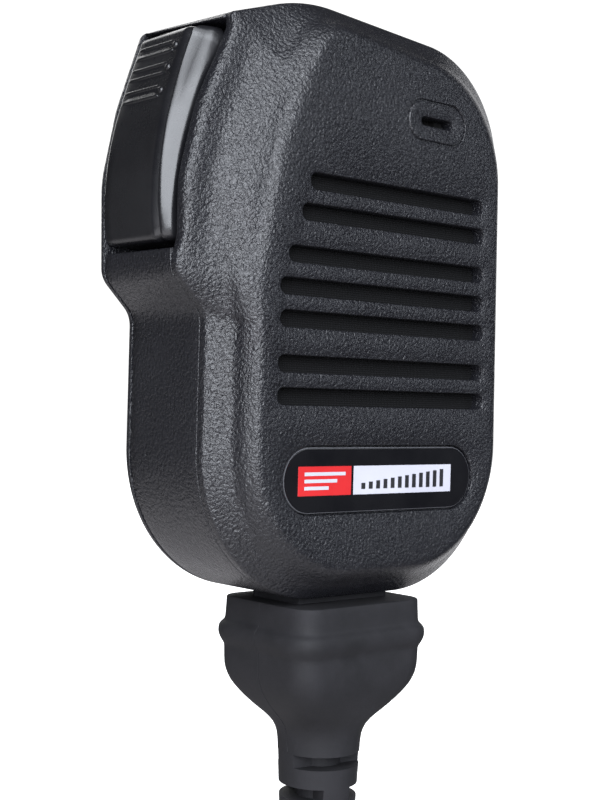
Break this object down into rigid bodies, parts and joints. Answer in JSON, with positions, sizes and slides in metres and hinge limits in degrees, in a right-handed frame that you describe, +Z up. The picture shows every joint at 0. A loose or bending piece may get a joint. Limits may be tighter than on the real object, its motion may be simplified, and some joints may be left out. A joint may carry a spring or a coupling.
{
  "type": "hand microphone",
  "caption": "Black hand-held speaker microphone with slotted speaker grille, side push-to-talk paddle, swivelling rear spring clip and slotted rubber cable relief.",
  "frame": {"origin": "axis of the rear clip's swivel, on the flat rear face of the body", "axes": "+Z up along the body, away from the cable; -Y is the way the speaker face looks; the push-to-talk paddle is on the -X side"},
  "size_m": [0.0645, 0.0352, 0.1333],
  "materials": {
    "case_plastic": "fine spark-eroded texture, satin",
    "back_plastic": "fine spark-eroded texture, satin",
    "button_plastic": "smooth satin",
    "badge": "gloss",
    "cloth": "fine acoustic cloth",
    "boot_rubber": "matte",
    "seal_rubber": "matte",
    "foam": "closed-cell foam",
    "steel": "zinc plated",
    "screw_black": "black oxide",
    "clip_steel": "black powder coat",
    "clip_plastic": "glass-filled nylon",
    "spring_steel": "bright wire",
    "magnet": "plated",
    "paper_cone": "black paper",
    "board": "green solder mask",
    "components": "moulded",
    "switch_plastic": "moulded",
    "aluminium": "plain"
  },
  "bodies": {
    "case": {"back_cover": "back_plastic", "badge_plate": "badge", "board_components": "components", "board_screws": "steel", "cable_boot": "boot_rubber", "case_screws": "screw_black", "case_seal": "seal_rubber", "centre_frame": "case_plastic", "circuit_board": "board", "cord_clamp": "steel", "cord_clamp_screws": "steel", "front_case": "case_plastic", "mic_boot": "seal_rubber", "mic_capsule": "aluminium", "plunger_seal": "seal_rubber", "ptt_hinge_pin": "steel", "ptt_return_spring": "spring_steel", "ptt_switch": "switch_plastic", "retainer_screws": "steel", "speaker_cloth": "cloth", "speaker_cone": "paper_cone", "speaker_frame": "steel", "speaker_gasket": "foam", "speaker_magnet": "magnet", "speaker_retainer": "steel", "swivel_screw": "screw_black", "swivel_washer": "steel"},
    "ptt": {"ptt_button": "button_plastic"},
    "plunger": {"switch_plunger": "switch_plastic"},
    "clip": {"clip_base": "clip_plastic", "clip_pin": "steel", "clip_spring": "spring_steel"},
    "lever": {"clip_lever": "clip_steel"}
  },
  "joints": [
    {"name": "ptt_press", "type": "hinge", "parent": "case", "child": "ptt", "pos_m": [-0.0314, -0.0095, 0.0036], "axis": [0, 1, 0], "range_deg": [0, 3], "stiffness_Nm_per_rad": 1.2, "springref_deg": -1.72},
    {"name": "plunger_push", "type": "slide", "parent": "case", "child": "plunger", "axis": [1, 0, 0], "range_m": [0, 0.00055]},
    {"name": "clip_turn", "type": "hinge", "parent": "case", "child": "clip", "pos_m": [0, 0, 0], "axis": [0, 1, 0], "continuous": true},
    {"name": "clip_open", "type": "hinge", "parent": "clip", "child": "lever", "pos_m": [0, 0.0064, 0.0085], "axis": [1, 0, 0], "range_deg": [0, 20], "stiffness_Nm_per_rad": 0.25, "springref_deg": -20.05}
  ],
  "couplings": [
    {"joint": "plunger_push", "follows": "ptt_press", "m_per_rad": 0.0104}
  ]
}
